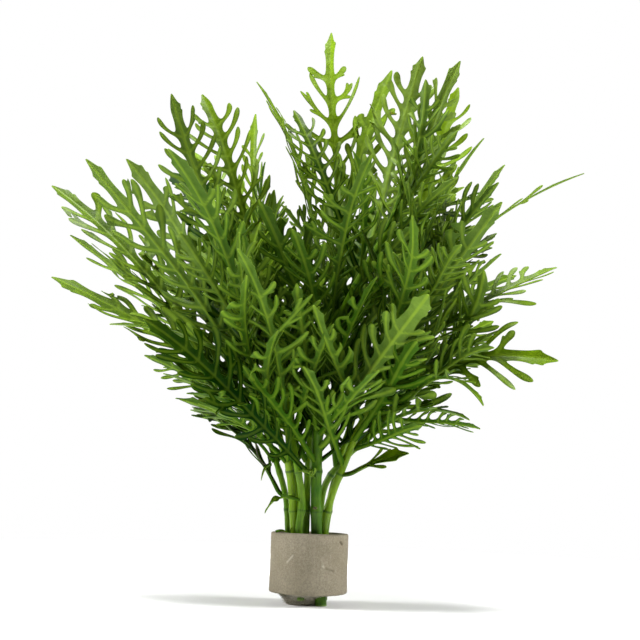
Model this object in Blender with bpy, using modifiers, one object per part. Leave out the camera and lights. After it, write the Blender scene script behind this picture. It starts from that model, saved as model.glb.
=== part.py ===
# Water wisteria: nine cut stems with their lobed leaves, held upright in a ceramic ring
# by a plug of mineral wool. Lengths below are in millimetres and are scaled to metres.
# +Z is up, the front of the bunch faces -Y, and the origin is the centre of the underside.

import itertools
import math

import bmesh
import bpy
from mathutils import Matrix, Vector
from mathutils.bvhtree import BVHTree

MM = 0.001
GAP = 0.3  # clearance between two touching pieces

# Ceramic ring
RING_RADIUS = 17.5
RING_BORE_RADIUS = 13.5
RING_BOTTOM = 5.2
RING_HEIGHT = 26.0
RING_CHAMFER = 0.7
RING_STEPS = 28

# Mineral wool plug: fills the bore and bulges below the ring, flat where it stands.
# Its outline is in pairs of radius and height, from the crown down to the foot, which
# sits off centre, so that stem ends show beside it.
WOOL_RADIUS = RING_BORE_RADIUS - GAP
WOOL_OUTLINE = [
    (0.0, 29.6),
    (9.2, 29.0),
    (WOOL_RADIUS, 27.6),
    (WOOL_RADIUS, RING_BOTTOM + 0.6),
    (8.2, 3.0),
    (6.4, 0.0),
    (0.0, 0.0),
]
WOOL_STEPS = 16
WOOL_FOOT_SHIFT = -2.8  # along X
CHANNEL_OVERRUN = 6.0

# Stems: radius at the cut, and points along each one from the cut to the growing tip
STEMS = {
    "stem_main": (2.6, [(6, -5, 0), (5, -5, 12), (3, -6, 31), (2, -8, 60), (3, -12, 96), (7, -15, 120),
                        (15, -18, 138), (22, -20, 152), (33, -22, 172), (43, -21, 192)]),
    "stem_left": (2.0, [(-5, -4, 1.5), (-7, -5, 31), (-10, -9, 58), (-15, -13, 72), (-22, -18, 90),
                        (-33, -26, 117), (-43, -30, 143)]),
    "stem_front_left": (1.7, [(-3, -8, 2.5), (-5, -9, 31), (-4, -10, 45), (-7, -13, 62), (-12, -11, 84),
                              (-15, -6, 108), (-20, -2, 135), (-25, -2, 160)]),
    "stem_right": (1.9, [(7, 1, 2), (6, -2, 31), (9, -3, 47), (14, -5, 61), (23, -8, 84), (36, -16, 110),
                         (48, -24, 138), (55, -27, 156)]),
    "stem_low_right": (1.7, [(2, 3, 2.5), (4, 3, 34), (6, 3, 52), (14, 0, 64), (26, -4, 76), (40, -9, 90),
                             (54, -13, 104), (62, -15, 113)]),
    "stem_back_left": (1.5, [(-8, 1, 2), (-10, 1, 32), (-12, 2, 48), (-19, 5, 68), (-30, 13, 94),
                             (-45, 22, 124), (-54, 27, 142)]),
    "stem_back_centre": (1.8, [(-3, 1, 1.5), (-2, 4, 32), (-2, 6, 56), (-1, 10, 84), (3, 16, 113), (9, 24, 148),
                               (15, 29, 176)]),
    "stem_back_right": (1.8, [(5, 6, 2), (7, 7, 32), (11, 11, 56), (19, 19, 86), (30, 30, 120), (42, 40, 154),
                              (50, 46, 180)]),
    "stem_rear_left": (1.8, [(-4, 7, 2), (-5, 8, 32), (-8, 13, 58), (-14, 23, 88), (-21, 35, 120),
                             (-27, 45, 152), (-31, 51, 176)]),
}
STEM_TIP_SHARE = 0.5  # radius at the tip over the radius at the cut
STEM_END_SHARE = 0.55  # of that, at the growing point itself
STEM_FIRST_NODE = 48.0
STEM_NODE_SPACING = 32.0
STEM_NODE_SWELLING = 1.22
STEM_NODE_HALF_LENGTH = 1.6
STEM_SAMPLES = 40  # points of the smooth curve for each span between two given points

# Which way the upper side of a leaf looks
UP = Vector((0.0, 0.0, 1.0))
FRONT = Vector((0.0, -1.0, 0.35))
REAR = Vector((0.0, 1.0, 0.35))
LEFT = Vector((-1.0, 0.0, 0.5))
RIGHT = Vector((1.0, 0.0, 0.5))

# Leaves: stem, height of the leaf base on it, leaf tip, width of the blade, pairs of side
# lobes, which way the upper side looks, and rise of the arch over the length
LEAVES = {
    "leaf_left_long": ("stem_left", 80, (-106, -38, 192), 35, 5, REAR + UP, 0.07),
    "leaf_left_spread": ("stem_left", 74, (-121, -24, 140), 30, 4, UP + FRONT, 0.08),
    "leaf_left_front": ("stem_left", 62, (-31, -76, 143), 30, 4, REAR + RIGHT, 0.06),
    "leaf_left_low": ("stem_left", 66, (-74, -22, 105), 23, 3, UP + REAR, 0.08),
    "leaf_left_inner": ("stem_left", 100, (-64, -62, 182), 26, 3, REAR + RIGHT, 0.08),
    "leaf_left_top": ("stem_left", 132, (-70, -32, 226), 26, 3, REAR, 0.06),
    "leaf_front_left_top": ("stem_front_left", 142, (-59, -8, 241), 27, 4, FRONT, 0.05),
    "leaf_front_left_dark": ("stem_front_left", 128, (-76, 6, 205), 26, 4, FRONT, 0.12),
    "leaf_front_left_low_dark": ("stem_front_left", 96, (-54, -20, 174), 24, 4, FRONT + LEFT, 0.09),
    "leaf_front_left_pale": ("stem_front_left", 74, (-36, -52, 158), 24, 3, REAR + LEFT, 0.08),
    "leaf_front_left_tip": ("stem_front_left", 138, (-31, -4, 222), 19, 3, LEFT, 0.05),
    "leaf_curled": ("stem_front_left", 46, (-20, -20, 40), 6, 0, UP, 0.20),
    "leaf_main_centre": ("stem_main", 76, (-9, -58, 134), 23, 4, REAR, 0.06),
    "leaf_main_long_stalk": ("stem_main", 68, (44, -72, 128), 27, 3, REAR, 0.10),
    "leaf_main_dark": ("stem_main", 62, (-76, -52, 120), 27, 4, FRONT, 0.07),
    "leaf_main_inner": ("stem_main", 112, (-27, -52, 171), 23, 3, REAR, 0.06),
    "leaf_main_front": ("stem_main", 118, (20, -68, 187), 29, 4, REAR + LEFT, 0.06),
    "leaf_main_pale": ("stem_main", 176, (60, -29, 242), 22, 3, REAR, 0.05),
    "leaf_main_high": ("stem_main", 156, (47, -12, 261), 30, 4, REAR, 0.05),
    "leaf_main_left": ("stem_main", 148, (-15, -14, 230), 26, 3, FRONT, 0.07),
    "leaf_right_low": ("stem_right", 57, (43, -17, 67), 13, 2, UP + FRONT, 0.06),
    "leaf_right_front": ("stem_right", 86, (38, -80, 158), 29, 4, REAR + RIGHT, 0.06),
    "leaf_right_pale": ("stem_right", 104, (77, -56, 172), 26, 3, REAR + UP, 0.07),
    "leaf_right_high": ("stem_right", 120, (88, -32, 204), 27, 4, UP + LEFT, 0.06),
    "leaf_right_narrow": ("stem_right", 130, (74, -60, 206), 19, 3, LEFT + UP, 0.08),
    "leaf_right_spread": ("stem_right", 98, (108, -26, 157), 26, 4, UP + FRONT, 0.10),
    "leaf_low_right_under": ("stem_low_right", 66, (62, -34, 82), 19, 3, UP, 0.14),
    "leaf_drooping": ("stem_low_right", 103, (104, -37, 109), 30, 4, FRONT, 0.08),
    "leaf_low_right_hanging": ("stem_low_right", 90, (72, -50, 88), 20, 3, UP, 0.22),
    "leaf_low_right_back": ("stem_low_right", 82, (88, 20, 138), 26, 3, UP + FRONT, 0.08),
    "leaf_back_left_long": ("stem_back_left", 88, (-139, 20, 200), 31, 5, UP + FRONT, 0.07),
    "leaf_back_left_edge": ("stem_back_left", 72, (-118, 4, 172), 23, 4, UP, 0.07),
    "leaf_back_left_rear": ("stem_back_left", 100, (-110, 56, 172), 29, 3, UP, 0.09),
    "leaf_back_left_low": ("stem_back_left", 52, (-64, 30, 92), 22, 3, UP, 0.10),
    "leaf_back_left_top": ("stem_back_left", 122, (-104, 44, 222), 27, 4, REAR + UP, 0.08),
    "leaf_top": ("stem_back_centre", 158, (2, 18, 290), 31, 5, FRONT, 0.05),
    "leaf_back_centre_left": ("stem_back_centre", 128, (-31, 6, 254), 26, 4, FRONT + RIGHT, 0.06),
    "leaf_back_centre_right": ("stem_back_centre", 142, (33, 32, 262), 24, 4, FRONT + LEFT, 0.06),
    "leaf_back_centre_rear": ("stem_back_centre", 108, (8, 84, 226), 30, 4, FRONT + RIGHT, 0.08),
    "leaf_back_right_top": ("stem_back_right", 154, (72, 34, 268), 29, 4, FRONT, 0.05),
    "leaf_back_right_high": ("stem_back_right", 134, (88, 66, 240), 26, 3, LEFT + UP, 0.08),
    "leaf_back_right_edge": ("stem_back_right", 112, (143, 34, 226), 24, 4, UP, 0.10),
    "leaf_back_right_low": ("stem_back_right", 84, (112, 60, 184), 30, 4, UP + FRONT, 0.09),
    "leaf_back_right_rear": ("stem_back_right", 98, (56, 96, 200), 30, 4, LEFT + FRONT, 0.10),
    "leaf_rear_left_thin": ("stem_rear_left", 150, (-38, 46, 252), 18, 3, LEFT, 0.05),
    "leaf_rear_left_back": ("stem_rear_left", 98, (-46, 96, 196), 30, 4, RIGHT + FRONT, 0.10),
    "leaf_rear_left_high": ("stem_rear_left", 128, (-72, 64, 240), 29, 4, RIGHT + FRONT, 0.07),
    "leaf_rear_low": ("stem_rear_left", 72, (-20, 88, 142), 27, 3, UP, 0.12),
    "leaf_withered": ("stem_main", 55, (-6, -20, 58), 10, 2, FRONT, 0.24),
}
LEAF_THICKNESS = 0.8
LEAF_STANDOFF = 0.5  # between a leaf's base and its stem
STALK_HALF_WIDTH = 1.0
WING_HALF_WIDTH = 1.9
STALK_SHARE = 0.16  # part of the leaf length without a blade
CUP = 0.16  # how far the blade rises away from the midrib, over the distance from it
LOBE_FORWARD = 0.95  # how far a lobe leans towards the tip, over its reach sideways
LOBE_START = 0.3  # of the pitch between two pairs of lobes, from the start of the pitch
LOBE_ROOT_WIDTH = 5.0
LOBE_ROOT_SHARE = 0.6  # of the pitch, at most
LOBE_TIP_HALF_WIDTH = 1.2
LOBE_LIMIT = 0.97  # of the leaf length, which no lobe passes
LOBE_UNEVENNESS = 0.12
LOBE_UNEVEN_PITCH = 2.4
FULLNESS_START = 0.22  # the reach of the lobes follows a half sine wave between these
FULLNESS_END = 0.84
TERMINAL_SHARE = 0.29  # part of the leaf length that is the end lobe
TERMINAL_WIDEST = 0.6  # of the end lobe, measured from its tip
TERMINAL_HALF_WIDTH = 3.2
TERMINAL_TIP_HALF_WIDTH = 0.6

# How far a leaf may leave its stated place to stay clear of its neighbours: height of its
# base on the stem, depth and height of its tip, and turn of its blade in degrees
TRY_HEIGHTS = (0, 6, -6)
TRY_DEPTHS = (0, 6, -6, 12, -12, 20, -20, 30, -30)
TRY_LIFTS = (0, 5, -5)
TRY_TURNS = (0, 12, -12, 24, -24, 40, -40, 60, -60)

# Young leaves round each growing tip, each one lower on the stem than the one before
YOUNG_COUNT = 3
YOUNG_LENGTH = 24.0
YOUNG_SHORTENING = 0.12
YOUNG_WIDTH = 4.2
YOUNG_DEPTH = 1.4
YOUNG_LEAN = math.radians(26)
YOUNG_START = 2.0
YOUNG_STAGGER = 1.3
YOUNG_OFFSET = 0.3


def vector(point):
    return Vector(point) * MM


def make_material(name, colour, roughness):
    material = bpy.data.materials.new(name)
    material.use_nodes = True
    shader = material.node_tree.nodes["Principled BSDF"]
    shader.inputs["Base Color"].default_value = (*colour, 1.0)
    shader.inputs["Roughness"].default_value = roughness
    shader.inputs["Metallic"].default_value = 0.0
    return material


def add_object(name, mesh, collection, material=None):
    thing = bpy.data.objects.new(name, mesh)
    collection.objects.link(thing)
    if material:
        mesh.materials.append(material)
    return thing


def turned(name, profile, steps, collection, material):
    """A closed or capped profile of (radius, height) pairs turned about the Z axis."""
    shape = bmesh.new()
    corners = [shape.verts.new(vector((radius, 0.0, height))) for radius, height in profile]
    for first, second in zip(corners, corners[1:]):
        shape.edges.new((first, second))
    if profile[0][0] > 0.0:
        shape.edges.new((corners[-1], corners[0]))
    mesh = bpy.data.meshes.new(name)
    shape.to_mesh(mesh)
    shape.free()
    thing = add_object(name, mesh, collection, material)
    screw = thing.modifiers.new("turn", "SCREW")
    screw.steps = steps
    screw.render_steps = steps
    screw.use_merge_vertices = True
    screw.merge_threshold = 0.00001
    return thing


def make_ring(collection, material):
    low = RING_BOTTOM
    high = RING_BOTTOM + RING_HEIGHT
    profile = [
        (RING_RADIUS - RING_CHAMFER, high),
        (RING_RADIUS, high - RING_CHAMFER),
        (RING_RADIUS, low + RING_CHAMFER),
        (RING_RADIUS - RING_CHAMFER, low),
        (RING_BORE_RADIUS, low),
        (RING_BORE_RADIUS, high),
    ]
    return turned("ceramic_ring", profile, RING_STEPS, collection, material)


def make_plug(collection, material):
    plug = turned("wool_plug", WOOL_OUTLINE, WOOL_STEPS, collection, material)
    foot = plug.vertex_groups.new(name="foot")
    foot.add([number for number, (radius, height) in enumerate(WOOL_OUTLINE) if height < RING_BOTTOM], 1.0, "REPLACE")
    shift = plug.modifiers.new("foot_shift", "DISPLACE")
    shift.direction = "X"
    shift.mid_level = 0.0
    shift.strength = WOOL_FOOT_SHIFT * MM
    shift.vertex_group = foot.name
    plug.modifiers.new("flat_faces", "TRIANGULATE")
    return plug


def smooth_point(points, share):
    """A point on the smooth curve through the points, at a share from 0 to 1 of its spans."""
    spans = len(points) - 1
    place = min(share, 0.99999) * spans
    index = int(place)
    t = place - index
    before = points[max(index - 1, 0)]
    start, end = points[index], points[index + 1]
    after = points[min(index + 2, spans)]
    return 0.5 * (
        2.0 * start
        + (end - before) * t
        + (2.0 * before - 5.0 * start + 4.0 * end - after) * t * t
        + (3.0 * start - before - 3.0 * end + after) * t * t * t
    )


def stem_path(name):
    """Points close together along the stem, each with the distance from the cut, in mm."""
    points = [Vector(point) for point in STEMS[name][1]]
    samples = STEM_SAMPLES * (len(points) - 1)
    path = []
    run = 0.0
    for step in range(samples + 1):
        point = smooth_point(points, step / samples)
        if path:
            run += (point - path[-1][0]).length
        path.append((point, run))
    return path


def stem_radius(name, share):
    radius = STEMS[name][0]
    return radius * (1.0 - (1.0 - STEM_TIP_SHARE) * share ** 1.5)


def point_at_run(path, run):
    return next((point for point, length in path if length >= run), path[-1][0])


def point_at_height(name, height):
    """The stem's axis point at a height, its direction there and its radius."""
    path = stem_path(name)
    index = next(i for i, (point, run) in enumerate(path) if point.z >= height)
    index = min(index, len(path) - 2)
    point, run = path[index]
    direction = (path[index + 1][0] - path[index - 1][0]).normalized()
    return point, direction, stem_radius(name, run / path[-1][1])


def tube_mesh(name, points, radii, resolution):
    """A tube with flat ends through the points, as a mesh with its caps joined on."""
    curve = bpy.data.curves.new(name, "CURVE")
    curve.dimensions = "3D"
    curve.bevel_depth = MM
    curve.bevel_resolution = resolution
    curve.use_fill_caps = True
    spline = curve.splines.new("POLY")
    spline.points.add(len(points) - 1)
    for corner, point, radius in zip(spline.points, points, radii):
        corner.co = (*(point * MM), 1.0)
        corner.radius = radius
    guide = bpy.data.objects.new(name + "_curve", curve)
    bpy.context.scene.collection.objects.link(guide)
    bpy.context.view_layer.update()
    evaluated = guide.evaluated_get(bpy.context.evaluated_depsgraph_get())
    mesh = bpy.data.meshes.new_from_object(evaluated)
    shape = bmesh.new()
    shape.from_mesh(mesh)
    bmesh.ops.remove_doubles(shape, verts=shape.verts, dist=0.01 * MM)
    bmesh.ops.recalc_face_normals(shape, faces=shape.faces)
    shape.to_mesh(mesh)
    shape.free()
    bpy.data.objects.remove(guide)
    return mesh


def stem_stations(name):
    """Axis points and radii of a stem: plain stretches, and a swelling at each leaf node."""
    path = stem_path(name)
    length = path[-1][1]
    nodes = []
    run = STEM_FIRST_NODE
    while run < length - STEM_NODE_SPACING * 0.5:
        nodes.append(run)
        run += STEM_NODE_SPACING
    stations = [(0.0, 1.0)]
    for node in nodes:
        stations.append((node - STEM_NODE_HALF_LENGTH, 1.0))
        stations.append((node, STEM_NODE_SWELLING))
    stations.append((length, STEM_END_SHARE))
    points = [point_at_run(path, run) for run, swelling in stations]
    radii = [stem_radius(name, run / length) * swelling for run, swelling in stations]
    return points, radii


def young_leaf(number, tip, direction):
    """A small folded leaf as a coarse solid, growing from just below the stem's tip."""
    shape = bmesh.new()
    bmesh.ops.create_cone(shape, cap_ends=True, segments=3, radius1=0.5, radius2=0.2, depth=1.0)
    across = direction.orthogonal().normalized()
    turn = Matrix.Rotation(number * math.tau / YOUNG_COUNT, 3, direction)
    out = turn @ across
    along = (direction * math.cos(YOUNG_LEAN) + out * math.sin(YOUNG_LEAN)).normalized()
    side = along.cross(out).normalized()
    face = side.cross(along)
    length = YOUNG_LENGTH * (1.0 - YOUNG_SHORTENING * number)
    start = tip - direction * (YOUNG_START + YOUNG_STAGGER * number) + out * YOUNG_OFFSET
    for corner in shape.verts:
        local = corner.co.copy()
        place = start + along * (local.z + 0.5) * length
        corner.co = (place + side * local.x * YOUNG_WIDTH + face * local.y * YOUNG_DEPTH) * MM
    bmesh.ops.recalc_face_normals(shape, faces=shape.faces)
    mesh = bpy.data.meshes.new("young_leaf")
    shape.to_mesh(mesh)
    shape.free()
    return mesh


def stem_resolution(name):
    """Rounder for the thick stem: 8 sides, and 6 for the others."""
    return 2 if name == "stem_main" else 1


def make_stem(name, collection, cutters, material):
    points, radii = stem_stations(name)
    mesh = tube_mesh(name, points, radii, stem_resolution(name))
    stem = add_object(name, mesh, collection, material)
    direction = (points[-1] - points[-2]).normalized()
    for number in range(YOUNG_COUNT):
        young = add_object(f"{name}_young_{number}", young_leaf(number, points[-1], direction), cutters)
        hide_cutter(young)
        join = stem.modifiers.new(f"young_{number}", "BOOLEAN")
        join.operation = "UNION"
        join.solver = "EXACT"
        join.object = young
    return stem


def hide_cutter(thing):
    thing.hide_render = True
    thing.display_type = "WIRE"


def cut_plug(plug, cutters):
    """Takes the stems' channels out of the wool."""
    for name in STEMS:
        points, radii = stem_stations(name)
        start = points[0] - (points[1] - points[0]).normalized() * CHANNEL_OVERRUN
        widths = [radii[0] + GAP, radii[0] + GAP]
        sides = stem_resolution(name)
        mesh = tube_mesh(name + "_channel", [start, points[1]], widths, sides)
        channel = add_object(name + "_channel", mesh, cutters)
        hide_cutter(channel)
        cut = plug.modifiers.new(name, "BOOLEAN")
        cut.operation = "DIFFERENCE"
        cut.solver = "EXACT"
        cut.object = channel


def blade_mesh(name, length, width, pairs, arch):
    """One leaf as an open surface: a winged midrib along X with side lobes grown from it."""
    half = width / 2.0
    stations = [(0.0, STALK_HALF_WIDTH), (STALK_SHARE, STALK_HALF_WIDTH)]
    terminal = TERMINAL_SHARE if pairs else 1.0 - STALK_SHARE
    roots = []
    for pair in range(pairs):
        pitch = (1.0 - STALK_SHARE - terminal) / pairs
        start = STALK_SHARE + pitch * (pair + LOBE_START)
        end = start + min(LOBE_ROOT_WIDTH / length, LOBE_ROOT_SHARE * pitch)
        stations += [(start, WING_HALF_WIDTH), (end, WING_HALF_WIDTH)]
        roots.append((start + end) / 2.0 * length)
    widest = TERMINAL_HALF_WIDTH if pairs else WING_HALF_WIDTH
    stations.append((1.0 - terminal * TERMINAL_WIDEST, widest))
    stations.append((1.0, TERMINAL_TIP_HALF_WIDTH))
    shape = bmesh.new()
    bmesh.ops.create_grid(shape, x_segments=len(stations) - 1, y_segments=1, size=1.0)
    columns = sorted({round(corner.co.x, 4) for corner in shape.verts})
    for corner in shape.verts:
        share, wing = stations[columns.index(round(corner.co.x, 4))]
        corner.co = Vector((share * length, math.copysign(wing, corner.co.y), 0.0))
    for pair, root in enumerate(roots):
        place = FULLNESS_START + (FULLNESS_END - FULLNESS_START) * (pair + 0.5) / pairs
        fullness = math.sin(math.pi * place)
        for side in (-1.0, 1.0):
            uneven = 1.0 + LOBE_UNEVENNESS * math.sin(LOBE_UNEVEN_PITCH * pair + side)
            grow_lobe(shape, root, side, half * fullness * uneven - WING_HALF_WIDTH, length)
    for corner in shape.verts:
        share = corner.co.x / length
        corner.co.z = 4.0 * arch * length * share * (1.0 - share) + CUP * abs(corner.co.y)
        corner.co *= MM
    bmesh.ops.recalc_face_normals(shape, faces=shape.faces)
    mesh = bpy.data.meshes.new(name)
    shape.to_mesh(mesh)
    shape.free()
    return mesh


def grow_lobe(shape, root, side, reach, length):
    """Pulls one side lobe out of the wing's edge at a place along the midrib."""
    def distance(edge):
        centre = (edge.verts[0].co + edge.verts[1].co) / 2.0
        return abs(centre.x - root) + 10.0 * abs(centre.y - side * WING_HALF_WIDTH)

    edge = min((edge for edge in shape.edges if edge.is_boundary), key=distance)
    grown = bmesh.ops.extrude_edge_only(shape, edges=[edge])["geom"]
    corners = [item for item in grown if isinstance(item, bmesh.types.BMVert)]
    centre = sum((corner.co for corner in corners), Vector()) / 2.0
    tip = centre + Vector((reach * LOBE_FORWARD, side * reach, 0.0))
    tip.x = min(tip.x, length * LOBE_LIMIT)
    across = Vector((1.0, -side * LOBE_FORWARD, 0.0)).normalized()
    for corner in corners:
        outward = math.copysign(1.0, corner.co.x - centre.x)
        corner.co = tip + across * outward * LOBE_TIP_HALF_WIDTH


def leaf_frame(base, tip, face):
    """Axes of a leaf: X from base to tip, Z the way its upper side looks."""
    along = (tip - base).normalized()
    upper = (face - along * face.dot(along)).normalized()
    side = upper.cross(along)
    return Matrix((along, side, upper)).transposed()


def leaf_base(stem, height, tip):
    point, direction, radius = point_at_height(stem, height)
    out = tip - point
    out = (out - direction * out.dot(direction)).normalized()
    clearance = radius * STEM_NODE_SWELLING + LEAF_STANDOFF + LEAF_THICKNESS / 2.0
    return point + out * clearance


def candidates():
    """Small changes to a leaf's place, the smallest first, in millimetres and degrees."""
    changes = itertools.product(TRY_HEIGHTS, TRY_DEPTHS, TRY_LIFTS, TRY_TURNS)
    return sorted(changes, key=lambda change: sum(abs(part) for part in change))


def solid_surface(thing, thickness=None):
    """Corners and faces of an object as its modifiers leave it, in its own axes."""
    shell = thing.modifiers.get("blade")
    if shell and thickness:
        shell.thickness = thickness
    bpy.context.view_layer.update()
    evaluated = thing.evaluated_get(bpy.context.evaluated_depsgraph_get())
    mesh = evaluated.to_mesh()
    corners = [corner.co.copy() for corner in mesh.vertices]
    faces = [tuple(face.vertices) for face in mesh.polygons]
    evaluated.to_mesh_clear()
    return corners, faces


class Occupied:
    """Everything placed so far, as one set of faces."""

    def __init__(self):
        self.corners = []
        self.faces = []
        self.tree = None

    def add(self, corners, faces):
        start = len(self.corners)
        self.corners.extend(corners)
        self.faces.extend(tuple(start + index for index in face) for face in faces)
        self.tree = BVHTree.FromPolygons(self.corners, self.faces)

    def touches(self, corners, faces):
        return bool(self.tree.overlap(BVHTree.FromPolygons(corners, faces)))


def make_leaf(name, occupied, collection, material):
    stem, height, tip, width, pairs, face, arch = LEAVES[name]
    tip = Vector(tip)
    base = leaf_base(stem, height, tip)
    mesh = blade_mesh(name, (tip - base).length, width, pairs, arch)
    leaf = add_object(name, mesh, collection, material)
    shell = leaf.modifiers.new("blade", "SOLIDIFY")
    shell.offset = 0.0
    shell.thickness = LEAF_THICKNESS * MM
    shell.use_even_offset = False
    corners, faces = solid_surface(leaf, (LEAF_THICKNESS + 2.0 * GAP) * MM)
    shell.thickness = LEAF_THICKNESS * MM
    for rise, depth, lift, turn in candidates():
        moved = tip + Vector((0.0, depth, lift))
        start = leaf_base(stem, height + rise, moved)
        axis = (moved - start).normalized()
        upper = Matrix.Rotation(math.radians(turn), 3, axis) @ face
        place = Matrix.Translation(start * MM) @ leaf_frame(start, moved, upper).to_4x4()
        world = [place @ corner for corner in corners]
        if not occupied.touches(world, faces):
            leaf.matrix_world = place
            occupied.add(world, faces)
            return leaf
    raise RuntimeError(f"there is no free place for {name}")


def main():
    for thing in list(bpy.data.objects):
        bpy.data.objects.remove(thing)
    plant = bpy.data.collections.new("water_wisteria")
    cutters = bpy.data.collections.new("cutters")
    for collection in (plant, cutters):
        bpy.context.scene.collection.children.link(collection)
    ceramic = make_material("ceramic", (0.38, 0.34, 0.25), 0.9)
    wool = make_material("mineral_wool", (0.30, 0.29, 0.25), 1.0)
    stalk = make_material("stem_green", (0.07, 0.20, 0.015), 0.45)
    blade = make_material("leaf_green", (0.13, 0.28, 0.03), 0.5)

    occupied = Occupied()
    ring = make_ring(plant, ceramic)
    plug = make_plug(plant, wool)
    occupied.add(*solid_surface(ring))
    occupied.add(*solid_surface(plug))
    for name in STEMS:
        occupied.add(*solid_surface(make_stem(name, plant, cutters, stalk)))
    cut_plug(plug, cutters)
    for name in LEAVES:
        make_leaf(name, occupied, plant, blade)


main()
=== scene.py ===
import math
import random

import bmesh
import bpy
import numpy as np
from mathutils import Matrix, Vector, kdtree, noise


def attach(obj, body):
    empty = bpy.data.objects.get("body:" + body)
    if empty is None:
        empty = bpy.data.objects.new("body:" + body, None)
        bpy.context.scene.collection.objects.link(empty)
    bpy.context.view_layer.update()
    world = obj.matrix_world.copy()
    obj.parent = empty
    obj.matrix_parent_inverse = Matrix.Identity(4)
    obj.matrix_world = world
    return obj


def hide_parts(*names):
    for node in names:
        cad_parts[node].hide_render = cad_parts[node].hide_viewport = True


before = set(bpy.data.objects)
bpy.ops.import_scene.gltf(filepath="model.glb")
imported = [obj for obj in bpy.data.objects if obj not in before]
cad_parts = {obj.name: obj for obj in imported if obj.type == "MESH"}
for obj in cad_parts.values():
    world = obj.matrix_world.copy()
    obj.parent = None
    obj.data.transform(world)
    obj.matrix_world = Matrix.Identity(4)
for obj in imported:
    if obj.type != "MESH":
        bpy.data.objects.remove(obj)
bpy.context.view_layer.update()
mm = 0.001
print("Frame loaded:", len(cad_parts), "solids")


# Helpers for modelling by hand
def onlyActive(piece):
    bpy.ops.object.select_all(action="DESELECT")
    piece.select_set(True)
    bpy.context.view_layer.objects.active = piece


def heading(degrees, side):
    return Vector((math.cos(math.radians(degrees)), side * math.sin(math.radians(degrees)), 0))


def readPlaces(mesh):
    places = np.empty(len(mesh.vertices) * 3, np.float32)
    mesh.vertices.foreach_get("co", places)
    return places.reshape(-1, 3).astype(float)


def writePlaces(mesh, places):
    mesh.vertices.foreach_set("co", places.astype(np.float32).ravel())
    mesh.update()


def addAttribute(mesh, name, values):
    attribute = mesh.attributes.get(name) or mesh.attributes.new(name, "FLOAT", "POINT")
    attribute.data.foreach_set("value", np.asarray(values, np.float32))


def keepPiece(piece, slot, *nodes):
    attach(piece, "root")
    if nodes:
        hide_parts(*nodes)


# Materials
def newMaterial(name, roughness):
    material = bpy.data.materials.new(name)
    material.use_nodes = True
    nodes, links = material.node_tree.nodes, material.node_tree.links
    shader = nodes["Principled BSDF"]
    shader.inputs["Roughness"].default_value = roughness
    return material, nodes, links, shader


def addNode(nodes, kind, **settings):
    node = nodes.new(kind)
    for name, value in settings.items():
        setattr(node, name, value)
    return node


def attributeNode(nodes, name):
    return addNode(nodes, "ShaderNodeAttribute", attribute_name=name).outputs["Fac"]


def mixColour(nodes, links, share, first, second):
    mix = addNode(nodes, "ShaderNodeMix", data_type="RGBA")
    for socket, value in ((mix.inputs["Factor"], share), (mix.inputs["A"], first), (mix.inputs["B"], second)):
        if isinstance(value, bpy.types.NodeSocket):
            links.new(value, socket)
        elif isinstance(value, (int, float)):
            socket.default_value = value
        else:
            socket.default_value = (*value, 1)
    return mix.outputs["Result"]


def mapRange(nodes, links, value, fromLow, fromHigh, toLow, toHigh, smooth=False):
    node = addNode(nodes, "ShaderNodeMapRange")
    if smooth:
        node.interpolation_type = "SMOOTHSTEP"
    links.new(value, node.inputs["Value"])
    limits = {"From Min": fromLow, "From Max": fromHigh, "To Min": toLow, "To Max": toHigh}
    for name, number in limits.items():
        node.inputs[name].default_value = number
    return node.outputs["Result"]


def noisePattern(nodes, links, coordinates, scale, detail=3.0, roughness=0.55):
    node = addNode(nodes, "ShaderNodeTexNoise")
    links.new(coordinates, node.inputs["Vector"])
    node.inputs["Scale"].default_value = scale
    node.inputs["Detail"].default_value = detail
    node.inputs["Roughness"].default_value = roughness
    return node.outputs["Fac"]


def objectPlace(nodes):
    return addNode(nodes, "ShaderNodeTexCoord").outputs["Object"]


def stretchedPlace(nodes, links, place, share):
    # Draws a pattern out along Z, for fibres and streaks
    mapping = addNode(nodes, "ShaderNodeMapping")
    mapping.inputs["Scale"].default_value = (1.0, 1.0, share)
    links.new(place, mapping.inputs["Vector"])
    return mapping.outputs["Vector"]


def arithmetic(nodes, links, operation, first, second):
    node = addNode(nodes, "ShaderNodeMath", operation=operation)
    for socket, value in zip(node.inputs, (first, second)):
        if isinstance(value, bpy.types.NodeSocket):
            links.new(value, socket)
        else:
            socket.default_value = value
    return node.outputs["Value"]


def addBump(nodes, links, shader, height, distance, strength=1.0):
    bump = addNode(nodes, "ShaderNodeBump")
    bump.inputs["Distance"].default_value = distance
    bump.inputs["Strength"].default_value = strength
    links.new(height, bump.inputs["Height"])
    links.new(bump.outputs["Normal"], shader.inputs["Normal"])


def addScatter(shader, weight, radius, depth):
    shader.inputs["Subsurface Weight"].default_value = weight
    shader.inputs["Subsurface Radius"].default_value = radius
    shader.inputs["Subsurface Scale"].default_value = depth


# Both faces of a leaf; a leaf's tone attribute runs from dark at 0 to bright at 1
leafLook = {
    "upper": {"dark": (0.002, 0.022, 0.0002), "bright": (0.190, 0.320, 0.002),
              "roughness": 0.44, "veinShare": 0.45},
    "under": {"dark": (0.022, 0.070, 0.002), "bright": (0.200, 0.310, 0.040),
              "roughness": 0.55, "veinShare": 0.6},
    "vein": (0.210, 0.330, 0.020),
    "veinEdge": (0.1, 0.75),  # millimetres from a vein's line, where its colour fades out
    "contrast": 2.0,  # higher keeps more of the blade dark
    "sheen": (0.02, 0.13),  # from the darkest leaves to the palest
    "cloudScale": 160.0, "speckScale": 900.0, "speckShare": 0.22, "bump": 0.0006,
}


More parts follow.
